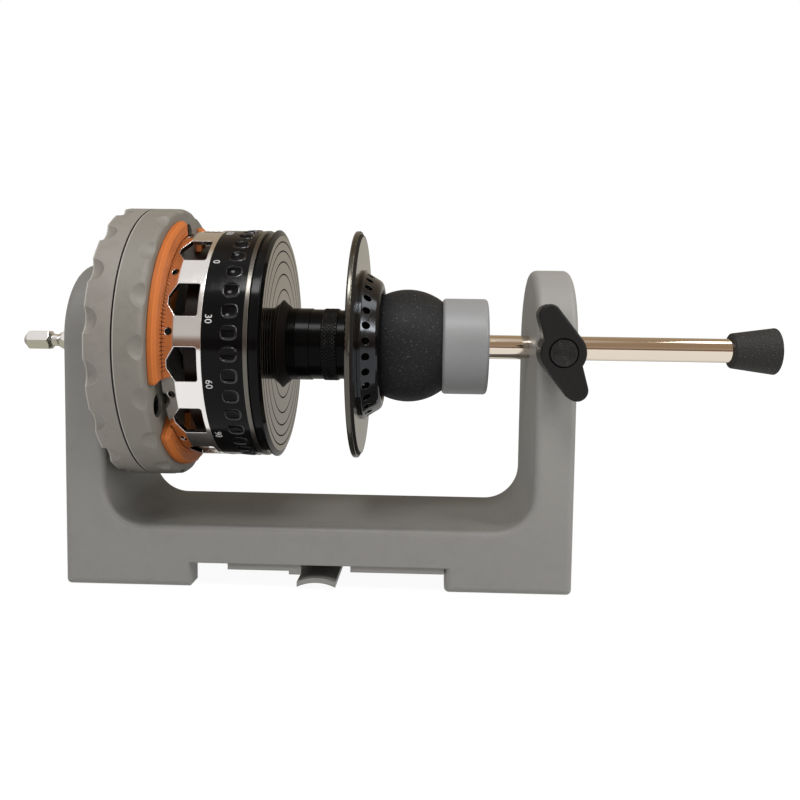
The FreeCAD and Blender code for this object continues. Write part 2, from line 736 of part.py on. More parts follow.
# ---- spool ---------------------------------------------------------------------------------
def spool_skirt():
    """Polished skirt with house-shaped windows and a small vent between each two."""
    body = turned([
        (skirt_rear, skirt_end_radius - spool_wall), (skirt_rear, skirt_end_radius),
        (skirt_taper_front, spool_radius), (band_rear, spool_radius),
        (band_rear, spool_radius - spool_wall), (skirt_taper_front, spool_radius - spool_wall)])
    front = band_rear - window_margin
    rear = front - window_length
    corners = [(rear, -window_tip_width / 2), (rear + window_slope, -window_width / 2),
               (front, -window_width / 2), (front, window_width / 2),
               (rear + window_slope, window_width / 2), (rear, window_tip_width / 2)]
    inside = spool_radius / 2
    points = [at(station, inside, z) for station, z in corners]
    window = Part.Face(Part.makePolygon(points + [points[0]])).extrude(Vector(0, spool_radius, 0))
    corner_edges = [edge for edge in window.Edges
                    if edge.BoundBox.XMin > at(front).x - 0.01 and edge.BoundBox.YLength > 1]
    window = window.makeFillet(window_corner, corner_edges)
    vent = Part.makeCylinder(vent_radius, spool_radius, at(skirt_rear + vent_from_edge, inside, 0),
                             Vector(0, 1, 0))
    tools = spun_ring(window, window_count, first_window_angle)
    half_pitch = 180 / window_count
    return cut_all(body, tools + spun_ring(vent, window_count, first_window_angle + half_pitch))


def spool_band():
    """Black band of the skirt with a ring of pressed dents."""
    body = tube(spool_radius, spool_radius - spool_wall, band_rear, bright_rear)
    dent = dish(2 * dent_radius, dent_depth, spool_radius, bright_rear - dent_from_front)
    return cut_all(body, spun_ring(dent, dent_count, first_dent_angle))


def spool_bright_ring():
    return tube(spool_radius + bright_ring_stand, spool_radius - spool_wall, bright_rear, flange_rear)


def spool_flange():
    """Rear flange of the line groove: a grooved rim round the seat of the metal face."""
    groove_radius = spool_radius - flange_groove_depth
    rim_rear = flange_rear + flange_groove
    wall_inner = groove_radius - flange_wall
    return turned([
        (flange_rear, wall_inner), (flange_rear, groove_radius), (rim_rear, groove_radius),
        (rim_rear, flange_radius), (flange_front - flange_bevel, flange_radius),
        (flange_front, face_radius + press_fit), (face_seat, face_radius + press_fit),
        (face_seat, arbor_bore), (flange_plate_rear, arbor_bore), (flange_plate_rear, wall_inner)])


def spool_face():
    """Metal face of the rear flange, with turned lines and a cone up to the arbor."""
    bore = arbor_radius + press_fit
    cone_front = flange_front + face_cone_length
    disc = turned([
        (face_seat, bore), (face_seat, face_radius), (flange_front, face_radius),
        (flange_front, face_cone_radius), (cone_front, bore + face_cone_tip), (cone_front, bore)])
    lines = [tube(face_radius - inset, face_radius - inset - face_line_width,
                  flange_front - face_line_depth, flange_front + 1) for inset in face_lines]
    return cut_all(disc, lines)


def spool_core():
    """Cup inside the skirt, behind the windows, with a hole for the reel's shaft."""
    rear = skirt_rear + core_from_skirt
    return turned([
        (rear, core_hole_radius), (rear, core_radius), (flange_plate_rear, core_radius),
        (flange_plate_rear, core_radius - core_wall), (rear + core_floor, core_radius - core_wall),
        (rear + core_floor, core_hole_radius)])


def spool_arbor():
    """Core that the line is wound on, stepped towards the front lip."""
    core = turned([
        (face_seat, arbor_bore), (face_seat, arbor_radius), (waist_rear, arbor_radius),
        (waist_rear, waist_radius), (knurl_rear, waist_radius), (knurl_rear, knurl_seat_radius),
        (arbor_front_rear, knurl_seat_radius), (arbor_front_rear, arbor_front_radius),
        (lip_rear, arbor_front_radius), (lip_rear, arbor_bore)])
    seat = tube(arbor_radius + 1, arbor_radius - arbor_ring_seat, arbor_ring_rear,
                arbor_ring_rear + arbor_ring_length)
    return core.cut(seat)


def spool_arbor_ring():
    """Grooved ring let into the arbor where it leaves the face."""
    ring = tube(arbor_radius, arbor_radius - arbor_ring_seat + press_fit, arbor_ring_rear,
                arbor_ring_rear + arbor_ring_length)
    pitch = arbor_ring_length / arbor_ring_grooves
    starts = [arbor_ring_rear + (turn + 0.5) * pitch - arbor_ring_groove_width / 2
              for turn in range(arbor_ring_grooves)]
    return cut_all(ring, [tube(arbor_radius + 1, arbor_radius - arbor_ring_groove_depth, start,
                               start + arbor_ring_groove_width) for start in starts])


def spool_knurl():
    return tube(knurl_radius, knurl_seat_radius + press_fit, knurl_rear, arbor_front_rear)


def ball_clearance():
    """The space that the rubber ball and its clearance take."""
    return Part.makeSphere(ball_radius + body_gap, at(ball_centre))


def spool_lip():
    """Front lip of the line groove, with a seat for the rubber ball."""
    edge = flange_radius - lip_rim_width
    disc = turned([(lip_rear, arbor_bore), (lip_rear, edge), (lip_front - lip_bevel, edge),
                   (lip_front, edge - lip_bevel), (lip_front, arbor_bore)])
    return disc.cut(ball_clearance())


def spool_lip_rim():
    """Bright ring round the lip."""
    inside = flange_radius - lip_rim_width + press_fit
    rim_front = lip_rear + lip_rim_length
    rim = tube(flange_radius, inside, lip_rear, rim_front)
    return rounded(rim, lip_rim_width / 2, (lip_rear, flange_radius), (rim_front, flange_radius))


def spool_nose():
    """Tapered ring in front of the lip, pierced all round, with a rounded edge."""
    bead = [(nose_front + along, nose_front_radius + out) for along, out in nose_bead]
    body = turned([
        (lip_front, nose_rear_radius - nose_wall), (lip_front, nose_foot_radius),
        (nose_foot, nose_foot_radius), (nose_foot, nose_rear_radius), (nose_front, nose_front_radius),
        *bead, (nose_foot, nose_rear_radius - nose_wall)])
    hole = Part.makeCylinder(nose_hole_radius, nose_rear_radius,
                             at(lip_front + nose_hole_from_lip, nose_front_radius / 2, 0),
                             Vector(0, 1, 0))
    return cut_all(body, spun_ring(hole, nose_hole_count, first_nose_hole_angle))


# ---- ball head -----------------------------------------------------------------------------
def rubber_ball():
    ball = Part.makeSphere(ball_radius, at(ball_centre))
    socket_end = cup_rear - cup_spigot_length - body_gap
    return ball.cut(rod(2 * ball_radius, cup_rear, cup_rear + ball_radius)).cut(
        rod(cup_spigot_radius + press_fit, socket_end, cup_rear + 1))


def ball_cup():
    """Cup that carries the ball on a hollow spigot and turns on the tail bearing."""
    body = rounded(rod(cup_radius, cup_rear, cup_front), cup_fillet,
                   (cup_rear, cup_radius), (cup_front, cup_radius))
    spigot = rod(cup_spigot_radius, cup_rear - cup_spigot_length, cup_rear + cup_fillet)
    tools = [
        rod(cup_cavity_radius, cup_rear - cup_spigot_length - 1, tail_bearing_rear + 1),
        rod(tail_bearing_radius + press_fit, tail_bearing_rear, tail_bearing_front + 1),
        rod(cup_cover_radius + press_fit, tail_bearing_front, cup_front + 1),
    ]
    body = fused(body, spigot)
    for tool in tools:
        body = body.cut(tool)
    return body


def cup_cover():
    return tube(cup_cover_radius, tail_shaft_radius + body_gap, tail_bearing_front, cup_front)


def tail_bearing_outer():
    inside = tail_journal_radius + bearing_race + shield_gap
    return tube(tail_bearing_radius, inside, tail_bearing_rear, tail_bearing_front)


# ---- tail shaft ----------------------------------------------------------------------------
def tail_shaft():
    """Polished shaft with a turned journal for the bearing of the ball head."""
    clip_rear = tail_bearing_rear - clip_width
    groove = tail_journal_radius - clip_groove_depth
    return turned([
        (tail_bearing_rear - tail_journal_tip, 0),
        (tail_bearing_rear - tail_journal_tip, tail_journal_radius),
        (clip_rear, tail_journal_radius), (clip_rear, groove), (tail_bearing_rear, groove),
        (tail_bearing_rear, tail_journal_radius), (tail_bearing_front, tail_journal_radius),
        (tail_bearing_front, tail_shaft_radius), (tail_shaft_end, tail_shaft_radius),
        (tail_shaft_end, 0)])


def tail_clip():
    return clip(tail_journal_radius - clip_groove_depth + press_fit, clip_radius,
                tail_bearing_rear - clip_width, tail_bearing_rear)


def tail_bearing_inner():
    return tube(tail_journal_radius + bearing_race, tail_journal_radius + press_fit,
                tail_bearing_rear, tail_bearing_front)


def end_cap():
    """Rubber cap on the free end of the tail shaft."""
    body = turned([(end_cap_rear, 0), (end_cap_rear, end_cap_rear_radius),
                   (winder_end, end_cap_radius), (winder_end, 0)])
    body = rounded(body, end_cap_edge, (end_cap_rear, end_cap_rear_radius),
                   (winder_end, end_cap_radius))
    return body.cut(rod(tail_shaft_radius + press_fit, end_cap_rear - 1, tail_shaft_end))


# ---- wing screw ----------------------------------------------------------------------------
def cross_rod(radius, y_start, y_end):
    """A round bar on the wing screw's axis, from front to back."""
    return Part.makeCylinder(radius, y_end - y_start, at(clamp_station, y_start, 0), Vector(0, 1, 0))


def wing(angle):
    """One wing: a round tip, tangent to the hub on one side and stepped in on the other."""
    turn = math.radians(angle)
    along = Vector(math.cos(turn), 0, math.sin(turn))
    across = Vector(math.sin(turn), 0, -math.cos(turn))
    hub = at(clamp_station, wing_front, 0)
    tip = hub + along * wing_reach
    lean = math.asin((wing_hub_radius - wing_tip_radius) / wing_reach)
    outward = across * math.cos(lean) + along * math.sin(lean)
    flare = math.radians(wing_flare)
    inward = along * math.sin(flare) - across * math.cos(flare)
    rootward = -along * math.cos(flare) - across * math.sin(flare)
    tip_corner = tip + inward * wing_tip_radius
    points = [hub, hub + outward * wing_hub_radius, tip + outward * wing_tip_radius, tip, tip_corner,
              tip_corner + rootward * (wing_reach - wing_root_along), hub]
    thickness = Vector(0, wing_thickness, 0)
    blade = Part.Face(Part.makePolygon(points)).extrude(thickness)
    return blade.fuse(Part.makeCylinder(wing_tip_radius, wing_thickness, tip, Vector(0, 1, 0)))


def wing_knob():
    hub = cross_rod(wing_hub_radius, wing_front, wing_rear)
    body = fused(hub, wing(wing_angle), wing(wing_angle + 180))

    def front_edge(edge):
        box_of_edge = edge.BoundBox
        return box_of_edge.YMax < wing_front + 0.01

    body = body.makeFillet(wing_edge, [edge for edge in body.Edges if front_edge(edge)])
    cap_seat = cross_rod(knob_cap_radius + press_fit, wing_front - 1, wing_front + knob_cap_depth)
    stud_hole = cross_rod(stud_radius + press_fit, wing_rear - stud_in_knob, wing_rear + 1)
    return body.cut(cap_seat).cut(stud_hole)


def knob_cap():
    return cross_rod(knob_cap_radius, wing_front - knob_cap_stand, wing_front + knob_cap_depth)


def clamp_stud():
    return cross_rod(stud_radius, wing_rear - stud_in_knob, stud_tip)


def clamp_pad():
    """Pad that the stud presses on the tail shaft, hollowed to the shaft's curve."""
    pad = cross_rod(stud_radius, stud_tip, -tail_shaft_radius / 2)
    return pad.cut(rod(tail_shaft_radius + body_gap, clamp_station - post_thickness,
                       clamp_station + post_thickness))


# ---- all nodes -----------------------------------------------------------------------------
def build():
    """Every sub-part by the name of its node; identical pieces share a node."""
    parts = {
        "base_frame": base_frame(),
        "rod_saddle": rod_saddle(),
        "head_bearing_outers": head_bearing_outers(),
        "tail_bush": tail_bush(),
        "clamp_insert": clamp_insert(),
        "drive_shaft": drive_shaft(),
        "shaft_clip": shaft_clip(),
        "head_bearing_inners": head_bearing_inners(),
        "chuck_hub": chuck_hub(),
        "hub_bolt": hub_bolt(),
        "chuck_faceplate": chuck_faceplate(),
        "face_screws": face_screws(),
        "cam_ring": cam_ring(),
        "spool_skirt": spool_skirt(),
        "spool_band": spool_band(),
        "spool_bright_ring": spool_bright_ring(),
        "spool_flange": spool_flange(),
        "spool_face": spool_face(),
        "spool_core": spool_core(),
        "spool_arbor": spool_arbor(),
        "spool_arbor_ring": spool_arbor_ring(),
        "spool_knurl": spool_knurl(),
        "spool_lip": spool_lip(),
        "spool_lip_rim": spool_lip_rim(),
        "spool_nose": spool_nose(),
        "rubber_ball": rubber_ball(),
        "ball_cup": ball_cup(),
        "cup_cover": cup_cover(),
        "tail_bearing_outer": tail_bearing_outer(),
        "tail_shaft": tail_shaft(),
        "tail_clip": tail_clip(),
        "tail_bearing_inner": tail_bearing_inner(),
        "end_cap": end_cap(),
        "wing_knob": wing_knob(),
        "knob_cap": knob_cap(),
        "clamp_stud": clamp_stud(),
        "clamp_pad": clamp_pad(),
    }
    for number, angle in enumerate(jaw_angles, start=1):
        parts["jaw_%d" % number] = jaw(angle)
    return parts


def main():
    os.makedirs("parts", exist_ok=True)
    for name, made in build().items():
        shape = Part.makeCompound(made) if isinstance(made, list) else made
        shape.exportStep("parts/" + name + ".step")
        print(name, len(shape.Solids), "solids", round(shape.Volume / 1000, 2), "cm3",
              "valid" if shape.isValid() else "NOT VALID")


if __name__ == "__main__":
    main()
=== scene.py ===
# %% [markdown]
# # A fishing line winder
# The packed model gives every rigid piece of the winder at its real size, in metres: the stand, the
# cam chuck, the reel spool, the ball head and the tail shaft. This notebook dresses them. Most
# pieces keep their packed shape and get a finish. Fine work that a solid model leaves out, such as
# the knurling, the gripping teeth and the printed numbers, is made here in mesh code.

# %% Load the frame
import json
import math

import bmesh
import bpy
from mathutils import Matrix, Vector


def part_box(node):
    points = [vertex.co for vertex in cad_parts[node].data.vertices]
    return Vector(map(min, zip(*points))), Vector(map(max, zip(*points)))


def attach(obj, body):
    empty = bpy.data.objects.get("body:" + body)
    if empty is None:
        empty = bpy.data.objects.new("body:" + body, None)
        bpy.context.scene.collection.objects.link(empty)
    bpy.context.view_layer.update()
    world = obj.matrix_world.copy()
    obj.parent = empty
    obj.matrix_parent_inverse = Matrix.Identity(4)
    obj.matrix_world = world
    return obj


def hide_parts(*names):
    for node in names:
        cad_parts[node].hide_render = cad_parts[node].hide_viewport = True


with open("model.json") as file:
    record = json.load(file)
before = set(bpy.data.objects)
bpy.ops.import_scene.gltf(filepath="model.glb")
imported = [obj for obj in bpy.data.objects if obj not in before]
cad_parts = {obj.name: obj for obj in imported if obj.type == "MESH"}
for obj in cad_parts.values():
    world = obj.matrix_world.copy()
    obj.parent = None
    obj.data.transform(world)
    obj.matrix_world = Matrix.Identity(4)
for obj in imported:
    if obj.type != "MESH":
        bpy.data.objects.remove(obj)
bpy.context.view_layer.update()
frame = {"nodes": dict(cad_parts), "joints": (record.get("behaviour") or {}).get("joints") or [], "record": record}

MM = 0.001
nodes = frame["nodes"]
spindle_height = next(j for j in frame["joints"] if j["name"] == "drive_spin")["pos_m"][2]
print("nodes:", len(nodes), "spindle height:", spindle_height)

# %% [markdown]
# ## The camera
# The view is almost square to the spindle, a little above it, from about thirty centimetres. The
# three axes of the camera are written as directions, which is easier to check than three angles:
# right, up and back are the columns of its rotation. The shift moves the picture sideways and down
# without turning the camera, as a view camera does.

# %% Place the camera
camera_place = Vector((0.01435, -0.28618, 0.09269))
camera_right = Vector((0.9995, 0.0295, 0.0150)).normalized()
camera_up = Vector((-0.0170, 0.0680, 0.9975)).normalized()
camera_back = camera_right.cross(camera_up)

lens = bpy.data.cameras.new("camera")
lens.lens = 36.0
lens.sensor_width = 36.0
lens.shift_x = -0.01575
lens.shift_y = -0.0394
lens.clip_start = 0.01
camera = bpy.data.objects.new("camera", lens)
bpy.context.scene.collection.objects.link(camera)
turn = Matrix((camera_right, camera_up, camera_back)).transposed()
camera.matrix_world = Matrix.Translation(camera_place) @ turn.to_4x4()
bpy.context.scene.camera = camera
print("camera at", [round(value, 4) for value in camera_place])

# %% [markdown]
# ## Shader maths as expressions
# A finish is mostly arithmetic on a few masks. The first class below wraps a node's output socket,
# so that `1 - mask * 0.5` adds the Math nodes by itself. Each operator has its reflected form, so a
# plain number may stand on either side.

# %% A socket that can be used in arithmetic
class Signal:
    """An output socket of a node tree that + - * / and a few functions can be used on."""

    def __init__(self, wiring, socket):
        self.wiring = wiring
        self.socket = socket

    def maths(self, operation, *others):
        return self.wiring.node("Math", {"operation": operation},
                                dict(enumerate((self,) + others)))

    def __add__(self, other): return self.maths("ADD", other)
    __radd__ = __add__
    def __mul__(self, other): return self.maths("MULTIPLY", other)
    __rmul__ = __mul__
    def __sub__(self, other): return self.maths("SUBTRACT", other)
    def __rsub__(self, other): return self * -1.0 + other
    def __truediv__(self, other): return self.maths("DIVIDE", other)
    def __rtruediv__(self, other): return self.maths("POWER", -1.0) * other

    def root(self): return self.maths("SQRT")
    def size(self): return self.maths("ABSOLUTE")
    def or_more(self, other): return self.maths("MAXIMUM", other)
    def or_less(self, other): return self.maths("MINIMUM", other)
    def clamped(self): return self.or_more(0.0).or_less(1.0)

    def above(self, edge, soft):
        """0 below the edge, 1 above it, with a soft step."""
        return ((self - (edge - soft / 2)) / soft).clamped()

    def between(self, low, high, soft):
        """1 between two values and 0 outside, with soft steps."""
        return self.above(low, soft) * (1.0 - self.above(high, soft))


print("a signal can do:", [name for name in vars(Signal) if not name.startswith("_")])

# %% [markdown]
# The second class holds a node tree and adds any other node through one method, `node`. It sets the
# node's own settings first and then its sockets, because a setting can change which sockets a node
# has. The shorter methods below it are the nodes that nearly every finish uses.

# %% A node tree with one way to add a node
class Wiring:
    """The nodes of a material or of the world."""

    def __init__(self, owner):
        owner.use_nodes = True
        self.tree = owner.node_tree
        self.tree.nodes.clear()

    def feed(self, slot, value):
        if isinstance(value, Signal):
            self.tree.links.new(value.socket, slot)
        else:
            slot.default_value = value

    def node(self, kind, settings=None, sockets=None, output=0):
        made = self.tree.nodes.new("ShaderNode" + kind)
        for name, value in (settings or {}).items():
            if name == "stops":
                while len(made.color_ramp.elements) < len(value):
                    made.color_ramp.elements.new(0.5)
                for element, (spot, colour) in zip(made.color_ramp.elements, value):
                    element.position, element.color = spot, tuple(colour) + (1.0,)
            else:
                setattr(made, name, value)
        for name, value in (sockets or {}).items():
            self.feed(made.inputs[name], value)
        return Signal(self, made.outputs[output])

    def mixed(self, factor, first, second):
        """A colour between two colours, each a signal or three amounts of light."""
        def four(value):
            return value if isinstance(value, Signal) else tuple(value) + (1.0,)
        return self.node("Mix", {"data_type": "RGBA"},
                         {0: factor, 6: four(first), 7: four(second)}, output=2)

    def place(self):
        """Position on the piece, in metres, which travels with the piece."""
        return self.node("TexCoord", output="Object")

    def parts(self, vector):
        node = self.tree.nodes.new("ShaderNodeSeparateXYZ")
        self.feed(node.inputs[0], vector)
        return [Signal(self, socket) for socket in node.outputs]

    def joined(self, x, y, z):
        return self.node("CombineXYZ", sockets={"X": x, "Y": y, "Z": z})

    def noise(self, scale, detail=3.0, vector=None, rough=0.55):
        return self.node("TexNoise", sockets={
            "Vector": vector or self.place(), "Scale": scale, "Detail": detail, "Roughness": rough})

    def in_mirrors(self):
        """1 for what is seen in a polished surface or through glass, 0 for all else."""
        return (self.node("LightPath", output="Is Glossy Ray")
                + self.node("LightPath", output="Is Transmission Ray")).clamped()


print("wiring can do:", [name for name in vars(Wiring) if not name.startswith("_")])

# %% [markdown]
# ## A finish
# Every finish is a Principled shader. Two helpers serve nearly all of them. `rounded` asks the
# Bevel node for the normal that the surface would have if its edges were rounded over: no moulded
# or turned edge is perfectly sharp, and the thin line of light along it is what makes it look real.
# `wear` compares that normal with the true one, which marks exactly the edges that hands rub. Some
# plastics also use it to paint a pale highlight along those edges.

# %% A finish with a Principled shader
class Finish(Wiring):
    """One material and the helpers that feed its shader."""

    def __init__(self, name, **fixed):
        self.material = bpy.data.materials.new(name)
        super().__init__(self.material)
        self.output = self.tree.nodes.new("ShaderNodeOutputMaterial")
        self.shader = self.tree.nodes.new("ShaderNodeBsdfPrincipled")
        self.tree.links.new(self.shader.outputs[0], self.output.inputs["Surface"])
        for socket, value in fixed.items():
            self.shader.inputs[socket.replace("_", " ")].default_value = value

    def set(self, **signals):
        for socket, value in signals.items():
            self.feed(self.shader.inputs[socket.replace("_", " ")], value)
        return self

    def rounded(self, radius, samples=4):
        return self.node("Bevel", {"samples": samples}, {"Radius": radius})

    def wear(self, rounded, gain=3.0):
        straight = self.node("NewGeometry", output="Normal")
        match = self.node("VectorMath", {"operation": "DOT_PRODUCT"}, {0: rounded, 1: straight},
                          output="Value")
        return ((1.0 - match) * gain).clamped()

    def bump(self, height, distance, rounded):
        return self.node("Bump", sockets={"Height": height, "Distance": distance,
                                          "Normal": rounded})

    def shaded(self, colour, tone, span=0.4):
        """The colour made lighter or darker by tone, which is 1 where it stays as written."""
        dark = tuple(value * (1.0 - span) for value in colour)
        light = tuple(min(1.0, value * (1.0 + span)) for value in colour)
        return self.mixed((tone - (1.0 - span)) / (2.0 * span), dark, light)


print("a finish can do:", [name for name in vars(Finish) if not name.startswith("_")])

# %% [markdown]
# Colours are easier to pick as the 0 to 255 values of a screen, but a shader reckons with amounts
# of light, so every colour goes through the standard curve once.

# %% Colours from screen values
def from_srgb(red, green, blue):
    """A colour from its 0 to 255 screen values, as the shader wants it."""
    def linear(value):
        value /= 255
        return value / 12.92 if value <= 0.04045 else ((value + 0.055) / 1.055) ** 2.4
    return tuple(linear(value) for value in (red, green, blue))


print("warm grey as the shader sees it:", [round(v, 3) for v in from_srgb(140, 138, 131)])

# %% [markdown]
# ## Painted shade and light on the stand
# The spool and the chuck above shade the floor of the stand's U, so that floor is painted darker:
# this painted shade is strongest under the chuck and clears towards the tail. The upper part of the
# tail post catches more light from above and the right, so it is painted a little paler. Both are
# masks of place, in metres, and of the way that the surface faces.

# %% Where the stand is darker and where it is paler
# The strength of the painted shade on the U and of the painted light on the tail post.
painted_shade_amount, painted_shade_amount_specks, painted_light_amount = 0.42, 0.1, 0.22


def stand_tone(finish, speck):
    """The painted shade and painted light that place adds to the tone of the stand."""
    along, _, height = finish.parts(finish.place())
    upward = finish.parts(finish.node("NewGeometry", output="Normal"))[2]
    low = 1.0 - height.above(edge=0.05, soft=0.03)
    under_chuck_shadow = 1.0 - along.above(edge=-0.01, soft=0.09) * 0.55
    painted_shade_mask = upward.above(edge=0.45, soft=0.5) * low * under_chuck_shadow
    tail_post_light = along.above(edge=0.03, soft=0.03) * height.above(edge=0.04, soft=0.05)
    return tail_post_light * painted_light_amount - painted_shade_mask * (speck * painted_shade_amount_specks + painted_shade_amount)


print("the stand gets up to %.2f darker and %.2f paler" % (painted_shade_amount + painted_shade_amount_specks, painted_light_amount))

# %% [markdown]
# ## The chuck's seam and rims
# The grip ring and the front ring of the chuck meet in a narrow seam. It is painted dark and wider
# than the gap between the rings, as painted shade. The rim beside the seam and the rear rim of the
# grip ring are painted pale, as painted highlights along their edges. The three places are found
# from the packed boxes of the two rings, in millimetres along the spindle.

# %% Masks for the seam's painted shade and the rims' painted highlights
seam_x = (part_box("cam_ring")[1][0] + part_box("chuck_faceplate")[0][0]) / 2 / MM
rear_rim_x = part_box("cam_ring")[0][0] / MM
# The seam colour is painted shade, the rim colour a painted highlight.
seam_shade_colour, rim_highlight_colour = from_srgb(34, 28, 25), from_srgb(196, 190, 182)


def chuck_edging(finish):
    """Two masks: the painted shade in the seam between the chuck's rings, and the painted highlights on the rims.
    """
    along = finish.parts(finish.place())[0] / MM
    seam = 1.0 - (along - seam_x).size().above(edge=0.3, soft=0.12)
    rear_rim_highlight = 1.0 - along.above(edge=rear_rim_x + 0.35, soft=0.3)
    front_rim_highlight = along.between(seam_x + 0.4, seam_x + 0.62, soft=0.15)
    return seam, (rear_rim_highlight + front_rim_highlight).clamped() * 0.6


print("seam at %.2f mm, rear rim at %.2f mm" % (seam_x, rear_rim_x))

# %% [markdown]
# ## Moulded plastics
# The stand, the chuck and the cup are satin grey plastic, the jaws the same in orange, the wing
# screw in black. A moulding is never one flat colour: it drifts over centimetres, carries a
# spark-eroded grain of a few tenths of a millimetre, gets smudged where it is held, and is a little
# paler and shinier along the edges that rub. On the grip ring and the jaws that paleness is turned
# up so far that it also paints the highlight of a rounded edge. Noise at four scales gives all but
# the edges.

# %% Satin plastic with grain, drift, smudges, and pale edges of wear and painted highlight
cloud_scale, smudge_scale, speck_scale, grain_scale = 24.0, 80.0, 900.0, 1700.0


def moulded_plastic(name, colour, rough, drift=0.05, smudged=0.05, grain=0.00005, edge=0.0005,
                    wear_and_highlight=0.14, wear_and_highlight_gain=3.0, gloss=0.5, placed=None, painted_edges=None, reach=0.4):
    finish = Finish(name, Specular_IOR_Level=gloss)
    rounded = finish.rounded(edge)
    wear = finish.wear(rounded, wear_and_highlight_gain)
    cloud = finish.noise(cloud_scale, 2.0) - 0.5
    smudge = finish.noise(smudge_scale, 4.0, rough=0.7).above(edge=0.57, soft=0.12)
    speck = finish.noise(speck_scale, 2.0)
    # Pale edges are wear, and on the grip ring and the jaws also a painted highlight.
    tone = cloud * (2 * drift) + (speck - 0.5) * 0.07 - smudge * smudged + wear * wear_and_highlight + 1.0
    # On the stand, place adds painted shade and painted light.
    if placed:
        tone = tone + placed(finish, speck)
    skin = finish.shaded(colour, tone, reach)
    # The chuck's seam gets painted shade and its rims get painted highlights.
    if painted_edges:
        dark, pale = painted_edges(finish)
        skin = finish.mixed(dark, finish.mixed(pale, skin, rim_highlight_colour), seam_shade_colour)
    return finish.set(
        Base_Color=skin,
        Roughness=cloud * 0.14 + (speck - 0.5) * 0.12 - wear * 0.12 + rough,
        Normal=finish.bump(finish.noise(grain_scale, 3.0), grain, rounded),
    ).material


print("noise sizes in mm:", [round(1 / (scale * MM), 1) for scale in
                             (cloud_scale, smudge_scale, speck_scale, grain_scale)])

# %% [markdown]
# Now each plastic is one call. The greys differ a little from piece to piece, and the front ring
# is a shade darker than the grip ring. The grip ring's and the jaws' edges are the palest of all:
# wear and painted highlight together.

# %% Mix the plastics
frame_grey = moulded_plastic("frame_grey", from_srgb(127, 125, 121), 0.5, smudged=0.04,
                             placed=stand_tone, reach=0.55)
chuck_grey = moulded_plastic("chuck_grey", from_srgb(131, 126, 118), 0.5, smudged=0.09,
                             wear_and_highlight=0.8, wear_and_highlight_gain=8.0, edge=0.0006, painted_edges=chuck_edging)
plate_grey = moulded_plastic("plate_grey", from_srgb(122, 118, 109), 0.5, smudged=0.09,
                             wear_and_highlight=0.3, edge=0.0006, painted_edges=chuck_edging)
cup_grey = moulded_plastic("cup_grey", from_srgb(136, 136, 136), 0.42, drift=0.02, smudged=0.02,
                           grain=0.00002)
bush_grey = moulded_plastic("bush_grey", from_srgb(112, 109, 102), 0.4)
jaw_orange = moulded_plastic("jaw_orange", from_srgb(182, 101, 45), 0.55, wear_and_highlight=0.7,
                             wear_and_highlight_gain=8.0, gloss=0.25)
black_plastic = moulded_plastic("black_plastic", from_srgb(22, 21, 21), 0.5, drift=0.1,
                                wear_and_highlight=0.8, gloss=0.25)
# The spool's core is near-black brown, partly its own dark colour and partly painted shade of the hollow inside
# the skirt.
dark_core = moulded_plastic("dark_core", from_srgb(24, 12, 8), 0.35, drift=0.1, gloss=0.15)
print("plastics:", [m.name for m in (frame_grey, chuck_grey, plate_grey, cup_grey, bush_grey,
                                     jaw_orange, black_plastic, dark_core)])

# %% [markdown]
# ## Rubber
# The ball that presses the spool and the cap on the shaft are cast rubber: dark, dull, with a
# pebbled skin and pale specks of talc from the mould. The specks are the peaks of a fine noise, the
# pebbles its bump. Rubber hardly mirrors anything, so its specular level stays low.

# %% Pebbled rubber with talc specks
talc_white = from_srgb(150, 150, 148)


def cast_rubber(name, colour, pebble, pebble_scale, talc, rough=0.62):
    finish = Finish(name, Specular_IOR_Level=0.25)
    rounded = finish.rounded(0.0004)
    cloud = finish.noise(45.0, 3.0) - 0.5
    pebbles = finish.noise(pebble_scale, 2.0)
    specks = finish.noise(2600.0, 1.0).above(edge=0.72, soft=0.06)
    tone = cloud * 0.25 + (pebbles - 0.5) * 0.3 + finish.wear(rounded) * 0.3 + 1.0
    return finish.set(
        Base_Color=finish.mixed(specks * talc, finish.shaded(colour, tone), talc_white),
        Roughness=cloud * 0.2 + (pebbles - 0.5) * 0.2 + rough,
        Normal=finish.bump(pebbles, pebble, rounded),
    ).material


ball_rubber = cast_rubber("ball_rubber", from_srgb(22, 23, 25), pebble=0.00012,
                          pebble_scale=1300.0, talc=0.5)
cap_rubber = cast_rubber("cap_rubber", from_srgb(40, 39, 38), pebble=0.0003,
                         pebble_scale=1600.0, talc=0.35)
print("rubbers:", ball_rubber.name, cap_rubber.name)

# %% [markdown]
# ## Dark lines and painted shade in turned parts
# Two of the turned parts are not bright all over. The spool's face has five fine lines painted dark,
# round a cone that is painted dark as painted shade and painted reflection of the black arbor, and
# the lip has a black edge. Each is a mask of the distance from the spindle, in millimetres. Where it
# is 1 the surface stops being metal: a dark metal would still shine at grazing angles.

# %% Masks for the face and the lip
face_line_radii, face_line_half, cone_radius, lip_steel_radius = (
    (36.15, 32.95, 29.15, 24.75, 19.35), 0.26, 15.6, 38.3)
# One dark colour for the face lines, the cone's painted shade and the lip's black edge.
turned_dark_and_shade = from_srgb(17, 13, 11)


def face_lines(out):
    """The turned lines of the spool's face, painted dark, and its cone, painted dark as painted shade."""
    nearest = (out - face_line_radii[0]).size()
    for radius in face_line_radii[1:]:
        nearest = nearest.or_less((out - radius).size())
    lines = 1.0 - nearest.above(face_line_half, soft=0.12)
    return lines.or_more(1.0 - out.above(cone_radius, soft=0.4))


def lip_edge(out):
    """The black edge of the lip, in front of its steel rim."""
    return out.above(lip_steel_radius, soft=0.3)


print("lines on the face:", len(face_line_radii))

